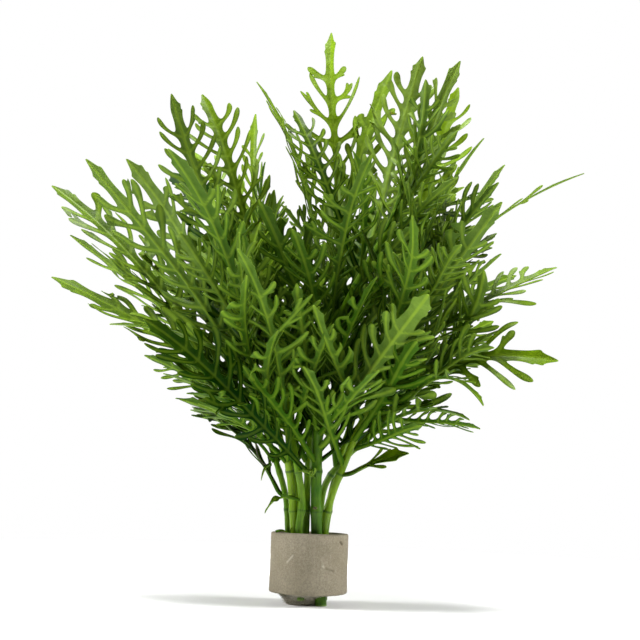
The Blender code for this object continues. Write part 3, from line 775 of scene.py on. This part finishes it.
def makeStem(name, radius, points, tone):
    run, route = smoothRoute(points, stemHabit["samples"])
    joints = nodeRuns(run, route)
    radii = radius * (1 - stemHabit["taper"] * (run / run[-1]) ** 1.5)
    gap = np.abs(run[:, None] - joints[None, :]).min(axis=1)
    radii *= 1 + stemHabit["swelling"] * np.exp(-(gap / stemHabit["swellingHalf"]) ** 2)
    piece = makeTube(name + "_skin", route, radii, stemHabit["sides"])
    places = readPlaces(piece.data) / mm
    along = nearestRun(places, run, route)
    addAttribute(piece.data, "joint", np.abs(along[:, None] - joints[None, :]).min(axis=1))
    addAttribute(piece.data, "cut", along)
    tones = np.full(len(places), tone) + stemHabit["tipTone"] * (along / run[-1]) ** 2
    addAttribute(piece.data, "tone", tones)
    piece.data.materials.append(stemSkin)
    extras = youngLeaves(name, route, youngHabit)
    if name == scar["stem"]:
        extras.append(makeScar(run, route, radii, joints[0], scar))
    joinPieces(piece, extras)
    keepPiece(piece, "stem", name)
    return run, route, joints, radii


# Stem skin: its attributes are the tone, the way to the nearest joint and the way from the cut end
stemLook = {"dark": (0.012, 0.075, 0.001), "bright": (0.210, 0.330, 0.006), "fibre": (0.10, 0.20, 0.006),
            "joint": (0.010, 0.045, 0.003), "cut": (0.20, 0.30, 0.09), "fibreScale": 2600.0, "stretch": 0.06,
            "sheen": 0.16, "bump": 0.00012}


def makeStemMaterial(settings):
    material, nodes, links, shader = newMaterial("stemSkin", 0.36)
    place = objectPlace(nodes)
    tone = attributeNode(nodes, "tone")
    upright = stretchedPlace(nodes, links, place, settings["stretch"])
    fibres = noisePattern(nodes, links, upright, settings["fibreScale"], 2.0)
    cloudy = noisePattern(nodes, links, place, 120.0)
    shifted = arithmetic(nodes, links, "ADD", tone, mapRange(nodes, links, cloudy, 0.3, 0.7, -0.12, 0.12))
    base = mixColour(nodes, links, shifted, settings["dark"], settings["bright"])
    streak = mapRange(nodes, links, fibres, 0.4, 0.7, 0.0, 0.25)
    streaked = mixColour(nodes, links, streak, base, settings["fibre"])
    joint = mapRange(nodes, links, attributeNode(nodes, "joint"), 0.35, 0.9, 0.75, 0.0, smooth=True)
    ringed = mixColour(nodes, links, joint, streaked, settings["joint"])
    cut = mapRange(nodes, links, attributeNode(nodes, "cut"), 0.2, 0.9, 0.8, 0.0, smooth=True)
    links.new(mixColour(nodes, links, cut, ringed, settings["cut"]), shader.inputs["Base Color"])
    addBump(nodes, links, shader, fibres, settings["bump"])
    shader.inputs["Specular IOR Level"].default_value = settings["sheen"]
    addScatter(shader, 0.1, (0.6, 1.0, 0.2), 0.0015)
    return material


stemSkin = makeStemMaterial(stemLook)
scarSkin = makeScarMaterial(scar)
stemRoutes = {}
for stemName, (stemRadius, stemPoints) in stems.items():
    stemRoutes[stemName] = makeStem(stemName, stemRadius, stemPoints, stemTones[stemName])
print("Stems made:", len(stemRoutes))


# Small leaves in pairs at the stem joints, too many for solids
smallLeaves = {
    "patterns": ("sprigLong", "sprigWide", "sprigShort"), "seed": 11, "fromHeight": 60.0, "spacing": 11.0,
    "fromTip": 6.0, "lengths": (36.0, 66.0), "growth": (0.75, 1.1), "halves": (0.2, 0.27),
    "arches": (-0.02, 0.12), "lean": (58.0, 28.0), "leanSpread": 12.0, "turn": 0.6, "turnSpread": 0.5,
    # tones: darker at the low joints and paler towards a stem's tip; the low, inner leaves are older and
    # darker, and their dark is partly painted shade of the bunch's middle
    "roll": 0.25, "depth": 0.6, "tones": (-0.08, 0.48), "toneSpread": (-0.1, 0.2),
    "reach": 16.0, "gap": 0.6, "tries": 14,  # how near a solid leaf the tip stays, and the room it needs
}
midribSamples = 13
smallLeafSeed = 500


def leafTree(places):
    # Points along the midribs of the leaves already there
    points = [place["base"] + place["along"] * share * place["length"]
              + place["upper"] * 4 * place["arch"] * place["length"] * share * (1 - share)
              for place in places for share in np.linspace(0, 1, midribSamples)]
    return treeOf(points)


def drawSmallLeaf(draw, route, radii, run, joint, turn, settings):
    index = int(np.searchsorted(run, joint))
    direction = route[min(index + 1, len(route) - 1)] - route[index - 1]
    direction /= np.linalg.norm(direction)
    sideways = np.cross(direction, (0, 1, 0))
    sideways /= np.linalg.norm(sideways)
    facing = np.cross(direction, sideways)
    angle = turn + draw.uniform(-settings["turnSpread"], settings["turnSpread"])
    out = sideways * math.cos(angle) + facing * math.sin(angle)
    share = joint / run[-1]
    spread = settings["leanSpread"]
    lean = math.radians(np.interp(share, (0.25, 1), settings["lean"]) + draw.uniform(-spread, spread))
    along = direction * math.cos(lean) + out * math.sin(lean)
    low, high = settings["lengths"]
    length = (low + (high - low) * math.sin(math.pi * min(share, 0.8))) * draw.uniform(*settings["growth"])
    upper = direction * math.sin(lean) - out * math.cos(lean) + draw.normal(0, settings["roll"], 3)
    base = route[index] + out * radii[index] * settings["depth"]
    half = length * draw.uniform(*settings["halves"])
    return placeFrom(base, along, upper, length, half, draw.uniform(*settings["arches"]))


def roomiestLeaf(draw, stem, joint, turn, near, taken, settings):
    # Of some tries, the leaf that stands freest of those already there
    run, route, _, radii = stem
    best, room = None, settings["gap"]
    for _ in range(settings["tries"]):
        place = drawSmallLeaf(draw, route, radii, run, joint, turn, settings)
        if near.find(place["tip"])[2] > settings["reach"]:
            continue
        middle = place["base"] + place["along"] * place["length"] * 0.6
        free = min(taken.find(middle)[2], taken.find(place["tip"])[2])
        if free > room:
            best, room = place, free
    return best


def growSmallLeaves(settings):
    draw = np.random.default_rng(settings["seed"])
    grown = [readLeafPlace(node) for node in leaves]
    near = leafTree(grown)
    low, high = settings["tones"]
    total = 0
    for name, stem in stemRoutes.items():
        run, route, joints, _ = stem
        pieceName = "small_leaves_" + name.removeprefix("stem_")
        made = []
        places = np.arange(joints[0], run[-1] - settings["fromTip"], settings["spacing"])
        for count, joint in enumerate(places):
            if np.interp(joint, run, route[:, 2]) < settings["fromHeight"]:
                continue
            for side in (0, 1):
                turn = count * math.pi / 2 + side * math.pi + settings["turn"]
                place = roomiestLeaf(draw, stem, joint, turn, near, leafTree(grown), settings)
                if place is None:
                    continue
                grown.append(place)
                patternName = settings["patterns"][int(draw.integers(len(settings["patterns"])))]
                # Darker at low joints, paler near the tip: partly older leaves, partly painted shade inside
                # the bunch
                tone = low + (high - low) * joint / run[-1] + draw.uniform(*settings["toneSpread"])
                made.append(looseLeaf(pieceName, patternName, place, tone, smallLeafSeed + total))
                total += 1
        if made:
            joinPieces(made[0], made[1:])
            made[0].name = pieceName
            keepPiece(made[0], "leaf")
    return total


print("Small leaves grown:", growSmallLeaves(smallLeaves))


# Loose bits: a dark root, a small hanging leaf and the scraps of leaf on the ring's rim
looseBits = {
    "root": [(-25, -20, 76), (-25.3, -20, 71), (-24.4, -19.5, 65), (-22, -18.5, 61), (-19.2, -16.5, 60.2)],
    "rootRadius": 0.32, "rootSides": 8, "rootTone": 0.1,
    "hangingLeaf": ((-18.2, -14.0, 61.0), (-22.2, -18.5, 53.6), 0.35), "hangingHalf": 1.9, "hangingTone": 0.5,
    "rimScraps": [((-15.4, -8.6, 31.7), (-10.6, -9.6, 31.6), 0.12),
                  ((-9.2, -9.8, 30.6), (-8.0, -9.9, 33.6), 0.1)], "scrapHalf": 1.2, "scrapTone": 0.45,
    "seed": 901,
}


def placeBetween(base, tip, half, arch):
    base, tip = np.array(base), np.array(tip)
    return placeFrom(base, tip - base, np.array((0.2, -0.5, 1.0)), np.linalg.norm(tip - base), half, arch)


def makeLooseBits(settings):
    route = smoothRoute(settings["root"], 12)[1]
    root = makeTube("dark_root", route, np.full(len(route), settings["rootRadius"]), settings["rootSides"])
    root.data.materials.append(scarSkin)
    addAttribute(root.data, "tone", np.full(len(root.data.vertices), settings["rootTone"]))
    keepPiece(root, "stem")
    base, tip, arch = settings["hangingLeaf"]
    place = placeBetween(base, tip, settings["hangingHalf"], arch)
    hanging = looseLeaf("small_hanging_leaf", "ribbon", place, settings["hangingTone"], settings["seed"],
                        cup=0.5, ripple=0.0)
    keepPiece(hanging, "leaf")
    scraps = []
    for number, (base, tip, arch) in enumerate(settings["rimScraps"]):
        place = placeBetween(base, tip, settings["scrapHalf"], arch)
        scraps.append(looseLeaf("rim_scraps", "ribbon", place, settings["scrapTone"],
                                settings["seed"] + 1 + number, ripple=0.0))
    joinPieces(scraps[0], scraps[1:])
    keepPiece(scraps[0], "leaf")


makeLooseBits(looseBits)
print("Loose bits placed")


# Ceramic ring: a chamfered profile spun round, with chips, grain and the marks of the photo
ring = {
    "radius": 17.5, "bore": 13.5, "bottom": 5.2, "height": 26.0, "chamfer": 0.7, "innerChamfer": 0.4,
    "rows": 40, "steps": 240, "grain": 0.07, "swell": 0.1, "chip": 0.9, "proud": 0.12, "skin": 1.2,
    "chipZone": 2.2, "nickZone": 1.2,
    "marksAndShadowStreak": [((-9.3, 18.9), (-6.9, 22.0), 0.55, 0.3), ((6.1, 17.8), (6.5, 17.5), 0.6, 0.35),
              # Below: a shallow groove whose dark colour is a painted shadow streak cast by the pale speck
              # before it, then a dark crater
              ((7.4, 17.0), (11.0, 15.6), 0.6, -0.3), ((13.8, 28.0), (14.6, 27.0), 0.6, -0.45),
              ((9.0, 22.6), (9.5, 21.4), 0.45, 0.2)],  # on the front: both ends in X and Z, width and height
}
ringLook = {"dark": (0.215, 0.185, 0.125), "bright": (0.300, 0.265, 0.195), "streak": (0.20, 0.17, 0.11),
            "grain": (0.15, 0.13, 0.09), "speck": (0.48, 0.45, 0.37), "pale": (0.46, 0.43, 0.35),
            # pit: the dark of the sunken marks, a real crater and a painted shadow streak
            "pitAndShadowStreak": (0.075, 0.058, 0.035), "stretch": 0.04, "bump": 0.0003}


def spinProfile(name, profile, steps):
    # Extrudes a vertex along a closed or open profile of (radius, height) and spins it about Z
    bpy.ops.object.select_all(action="DESELECT")
    bpy.ops.mesh.primitive_plane_add(size=2, enter_editmode=True)
    piece = bpy.context.object
    piece.name = name
    bpy.ops.mesh.select_mode(type="VERT")
    bpy.ops.mesh.select_all(action="SELECT")
    bpy.ops.mesh.merge(type="CENTER")
    (radius, height), rest = profile[0], profile[1:]
    bpy.ops.transform.translate(value=(radius, 0, height))
    for newRadius, newHeight in rest:
        bpy.ops.mesh.extrude_region_move(
            TRANSFORM_OT_translate={"value": (newRadius - radius, 0, newHeight - height)})
        radius, height = newRadius, newHeight
    bpy.ops.mesh.select_all(action="SELECT")
    bpy.ops.mesh.remove_doubles(threshold=0.0001)
    bpy.ops.mesh.select_all(action="SELECT")
    bpy.ops.mesh.spin(steps=steps, angle=math.tau, center=(0, 0, 0), axis=(0, 0, 1))
    bpy.ops.mesh.select_all(action="SELECT")
    bpy.ops.mesh.remove_doubles(threshold=0.0001)
    bpy.ops.mesh.normals_make_consistent(inside=False)
    bpy.ops.object.mode_set(mode="OBJECT")
    bpy.ops.object.shade_smooth()
    return piece


def fieldNoise(places, scale, octaves=2):
    return np.array([noise.fractal(Vector(place) * scale, 1.0, 2.0, octaves) for place in places])


def ringProfile(settings):
    low, high = settings["bottom"], settings["bottom"] + settings["height"]
    outer, inner, chamfer = settings["radius"], settings["bore"], settings["chamfer"]
    soft, middle = settings["innerChamfer"], (settings["radius"] + settings["bore"]) / 2
    heights = np.linspace(high - chamfer, low + chamfer, settings["rows"])
    profile = [(inner, high - soft), (inner + soft, high), (middle, high), (outer - chamfer, high),
               (outer - chamfer * 0.3, high - chamfer * 0.3)]
    profile += [(outer, height) for height in heights]
    profile += [(outer - chamfer * 0.3, low + chamfer * 0.3), (outer - chamfer, low), (middle, low),
                (inner + soft, low), (inner, low + soft), (inner, (low + high) / 2), (inner, high - soft)]
    return profile


def makeRing(settings):
    piece = spinProfile("ring_body", ringProfile(settings), settings["steps"])
    places = readPlaces(piece.data)
    normals = np.empty(len(places) * 3, np.float32)
    piece.data.vertices.foreach_get("normal", normals)
    normals = normals.reshape(-1, 3)
    rough = fieldNoise(places, 1.6, 3)
    broad = fieldNoise(places, 0.22)
    bottom, topEdge = settings["bottom"], settings["bottom"] + settings["height"]
    outer = np.hypot(places[:, 0], places[:, 1]) > settings["radius"] - settings["skin"]
    low = np.clip((places[:, 2] - bottom) / settings["chipZone"], 0, 1)
    chips = np.clip(fieldNoise(places, 0.55) - 0.25, 0, 1) * (1 - low) * outer
    high = np.clip((topEdge - places[:, 2]) / settings["nickZone"], 0, 1)
    nicks = np.clip(fieldNoise(places + 40.0, 0.6) - 0.45, 0, 1) * (1 - high) * outer
    raised = np.zeros(len(places))
    for first, second, width, height in settings["marksAndShadowStreak"]:
        away = distanceToPath(places[:, [0, 2]], [first, second])
        raised += height * np.exp(-(away / width) ** 2) * outer * (places[:, 1] < 0)
    inward = settings["grain"] * rough + settings["swell"] * broad - settings["chip"] * (chips + nicks)
    places += normals * (np.minimum(inward, settings["proud"]) + raised)[:, None]
    addAttribute(piece.data, "mark", raised)
    writePlaces(piece.data, places * mm)
    piece.data.materials.append(makeCeramicMaterial(ringLook))
    keepPiece(piece, "ceramic", "ceramic_ring")


def makeCeramicMaterial(settings):
    material, nodes, links, shader = newMaterial("porousCeramic", 0.9)
    place = objectPlace(nodes)
    cloudy = noisePattern(nodes, links, place, 70.0, 4.0)
    fine = noisePattern(nodes, links, place, 1300.0, 4.0, 0.7)
    speck = noisePattern(nodes, links, place, 3200.0, 2.0, 0.6)
    streaks = noisePattern(nodes, links, stretchedPlace(nodes, links, place, settings["stretch"]), 330.0, 2.0)
    mark = attributeNode(nodes, "mark")
    clouds = mapRange(nodes, links, cloudy, 0.3, 0.7, 0.0, 1.0)
    colour = mixColour(nodes, links, clouds, settings["dark"], settings["bright"])
    layers = ((streaks, 0.35, 0.65, 0.3, 0.0, "streak"), (fine, 0.42, 0.62, 0.0, 0.55, "grain"),
              (speck, 0.6, 0.72, 0.0, 0.5, "speck"), (mark, 0.12, 0.3, 0.0, 0.6, "pale"),
              # Sunken marks turn dark: the crater's own colour, and on the groove below the speck a painted
              # shadow
              (mark, -0.35, -0.12, 0.75, 0.0, "pitAndShadowStreak"))
    for value, fromLow, fromHigh, toLow, toHigh, tint in layers:
        share = mapRange(nodes, links, value, fromLow, fromHigh, toLow, toHigh)
        colour = mixColour(nodes, links, share, colour, settings[tint])
    links.new(colour, shader.inputs["Base Color"])
    addBump(nodes, links, shader, arithmetic(nodes, links, "ADD", fine, speck), settings["bump"])
    shader.inputs["Specular IOR Level"].default_value = 0.2
    return material


makeRing(ring)


# Mineral wool: a lumpy plug with fine fibres
wool = {
    "outline": [(0, 29.6), (5, 29.4), (9.2, 29.0), (12.0, 28.2), (13.2, 27.4), (13.2, 20), (13.2, 12),
                (13.2, 6.4), (12.4, 5.3), (10.8, 4.5), (9.4, 3.8), (8.4, 3.0), (7.7, 2.0), (7.1, 1.0),
                (6.7, 0.3), (6.2, 0.0), (4, 0.0), (2, 0.0), (0, 0.0)],
    "steps": 96, "lumps": 0.55,
    "footShift": -2.8, "footTop": 5.8, "footFade": 2.8,  # the foot sits off centre
    "fibres": 1500, "fibreRadius": 0.08, "fibreLengths": (1.2, 3.6), "fibreBend": 0.35, "lowest": 0.12,
    "lowFibres": (0.5, 5.0), "lowHeights": (0, 1, 3, 5), "lowRadii": (6.3, 7.1, 8.4, 11.8),
    "topFibres": (1.0, 12.6), "topHeight": 29.2, "seed": 5,
    "dark": (0.190, 0.175, 0.125), "bright": (0.400, 0.370, 0.290), "fleck": (0.52, 0.49, 0.40),
}


def footShift(height, settings):
    return settings["footShift"] * np.clip((settings["footTop"] - height) / settings["footFade"], 0, 1)


def makeWoolMaterial(settings):
    material, nodes, links, shader = newMaterial("mineralWool", 1.0)
    place = objectPlace(nodes)
    fine = noisePattern(nodes, links, place, 1500.0, 3.0, 0.7)
    cloudy = noisePattern(nodes, links, place, 180.0, 3.0)
    clouds = mapRange(nodes, links, cloudy, 0.3, 0.7, 0.0, 1.0)
    base = mixColour(nodes, links, clouds, settings["dark"], settings["bright"])
    flecks = mapRange(nodes, links, fine, 0.4, 0.65, 0.0, 0.7)
    links.new(mixColour(nodes, links, flecks, base, settings["fleck"]), shader.inputs["Base Color"])
    addBump(nodes, links, shader, fine, 0.0005)
    shader.inputs["Specular IOR Level"].default_value = 0.15
    return material


def woolFibres(settings, material):
    # Short bent three-sided fibres over the bulge below the ring and, one in four, over the top
    draw = np.random.default_rng(settings["seed"])
    shape = bmesh.new()
    for number in range(settings["fibres"]):
        turn = draw.uniform(0, math.tau)
        if number % 4:
            height = draw.uniform(*settings["lowFibres"])
            radius = np.interp(height, settings["lowHeights"], settings["lowRadii"]) + draw.uniform(-0.5, 0.3)
        else:
            height, radius = settings["topHeight"], draw.uniform(*settings["topFibres"])
        x, y = radius * math.cos(turn), radius * math.sin(turn)
        centre = Vector((x + footShift(height, settings), y, height))
        along = Vector(draw.normal(0, 1, 3)).normalized()
        along.z *= 0.5
        length = draw.uniform(*settings["fibreLengths"])
        bend = Vector(draw.normal(0, settings["fibreBend"], 3))
        side = along.orthogonal().normalized() * settings["fibreRadius"]
        corners = [Matrix.Rotation(corner * math.tau / 3, 3, along) @ side for corner in range(3)]
        rows = []
        for share in (-0.5, -0.17, 0.17, 0.5):
            middle = centre + along * length * share + bend * (1 - 4 * share * share)
            middle.z = max(middle.z, settings["lowest"])
            taper = 1.0 - abs(share)
            rows.append([shape.verts.new((middle + corner * taper) * mm) for corner in corners])
        shape.faces.new(rows[0])
        shape.faces.new(rows[-1])
        for first, second in zip(rows, rows[1:]):
            for corner in range(3):
                shape.faces.new((first[corner - 1], first[corner], second[corner], second[corner - 1]))
    bmesh.ops.recalc_face_normals(shape, faces=shape.faces)
    mesh = bpy.data.meshes.new("fibres")
    shape.to_mesh(mesh)
    shape.free()
    mesh.materials.append(material)
    piece = bpy.data.objects.new("fibres", mesh)
    bpy.context.scene.collection.objects.link(piece)
    return piece


def makeWool(settings):
    material = makeWoolMaterial(settings)
    piece = spinProfile("wool_body", settings["outline"], settings["steps"])
    places = readPlaces(piece.data)
    inward = settings["lumps"] * (np.abs(fieldNoise(places, 0.5, 3)) * 1.4 - 0.1)
    free = np.clip((6.5 - places[:, 2]) / 2, 0, 1) * np.clip(places[:, 2] / 0.6, 0, 1)
    free = np.maximum(free, np.clip((places[:, 2] - 27.5) / 1.0, 0, 1))  # lumpy only outside the ring
    shrink = 1 - free * inward / np.maximum(np.hypot(places[:, 0], places[:, 1]), 1.0)
    places[:, :2] *= shrink[:, None]
    places[:, 0] += footShift(places[:, 2], settings)
    writePlaces(piece.data, places * mm)
    piece.data.materials.append(material)
    joinPieces(piece, [woolFibres(settings, material)])
    keepPiece(piece, "mineral_wool", "wool_plug")


makeWool(wool)
print("Ring and wool made")


# Camera
cameraSettings = {"place": (0.0012, -0.415, 0.0462), "pitch": 11.4, "roll": 2.0, "lens": 50.0,
                  "sensor": 36.0, "nearest": 0.01}


def makeCamera(settings):
    pitch, roll = math.radians(settings["pitch"]), math.radians(settings["roll"])
    right, level = Vector((1, 0, 0)), Vector((0, -math.sin(pitch), math.cos(pitch)))
    across = right * math.cos(roll) + level * math.sin(roll)
    upward = level * math.cos(roll) - right * math.sin(roll)
    camera = bpy.data.objects.new("camera", bpy.data.cameras.new("camera"))
    camera.data.lens = settings["lens"]
    camera.data.sensor_width = settings["sensor"]
    camera.data.clip_start = settings["nearest"]
    turn = Matrix((across, upward, across.cross(upward))).transposed()
    camera.matrix_world = Matrix.Translation(settings["place"]) @ turn.to_4x4()
    bpy.context.scene.collection.objects.link(camera)
    bpy.context.scene.camera = camera


makeCamera(cameraSettings)


# Floor and light
studio = {
    "floorRadius": 0.52, "fade": (0.16, 0.5), "floor": (0.93, 0.93, 0.93), "horizon": 0.0, "sky": 0.6,
    "front": 0.02, "frontEdge": (-0.45, 0.15), "lampSize": 0.4, "aim": (0, 0, 0.13),
    "lamps": {"left_panel": ((-1.15, -0.1, 0.5), 17.0), "right_panel": ((1.15, -0.1, 0.5), 17.0),
              "top_panel": ((-0.1, -0.25, 1.2), 26.0)},
}


def makeFloor(settings):
    # A pale floor that fades into the white behind
    bpy.ops.object.select_all(action="DESELECT")
    bpy.ops.mesh.primitive_circle_add(vertices=96, radius=settings["floorRadius"], fill_type="NGON")
    floor = bpy.context.object
    floor.name = "studio_floor"
    material, nodes, links, shader = newMaterial("paleFloor", 0.9)
    shader.inputs["Specular IOR Level"].default_value = 0.1
    distance = addNode(nodes, "ShaderNodeVectorMath", operation="LENGTH")
    links.new(objectPlace(nodes), distance.inputs[0])
    fade = mapRange(nodes, links, distance.outputs["Value"], *settings["fade"], 0.0, 1.0, smooth=True)
    links.new(mixColour(nodes, links, fade, settings["floor"], (0, 0, 0)), shader.inputs["Base Color"])
    shader.inputs["Emission Color"].default_value = (1, 1, 1, 1)
    links.new(fade, shader.inputs["Emission Strength"])
    floor.data.materials.append(material)


def makeSky(settings):
    # White to the camera; as a light it rises from the horizon and is darkest in front
    world = bpy.data.worlds.new("studio_light")
    bpy.context.scene.world = world
    world.use_nodes = True
    nodes, links = world.node_tree.nodes, world.node_tree.links
    seen = addNode(nodes, "ShaderNodeLightPath").outputs["Is Camera Ray"]
    parts = addNode(nodes, "ShaderNodeSeparateXYZ")
    links.new(addNode(nodes, "ShaderNodeTexCoord").outputs["Generated"], parts.inputs["Vector"])
    rising = mapRange(nodes, links, parts.outputs["Z"], -0.1, 0.9, settings["horizon"], settings["sky"])
    behind = mapRange(nodes, links, parts.outputs["Y"], *settings["frontEdge"], settings["front"], 1.0)
    sky = arithmetic(nodes, links, "MULTIPLY", rising, behind)
    light = mixColour(nodes, links, seen, (0, 0, 0), (1, 1, 1))
    links.new(sky, light.node.inputs["A"])
    links.new(light, nodes["Background"].inputs["Color"])


def makeStudio(settings):
    makeFloor(settings)
    makeSky(settings)
    for name, (place, power) in settings["lamps"].items():
        lamp = bpy.data.objects.new(name, bpy.data.lights.new(name, "AREA"))
        lamp.data.size = settings["lampSize"]
        lamp.data.energy = power
        lamp.location = place
        aim = Vector(settings["aim"]) - Vector(place)
        lamp.rotation_euler = aim.to_track_quat("-Z", "Y").to_euler()
        bpy.context.scene.collection.objects.link(lamp)
    bpy.context.scene.view_settings.view_transform = "Standard"


makeStudio(studio)
print("Camera, floor and light in place")
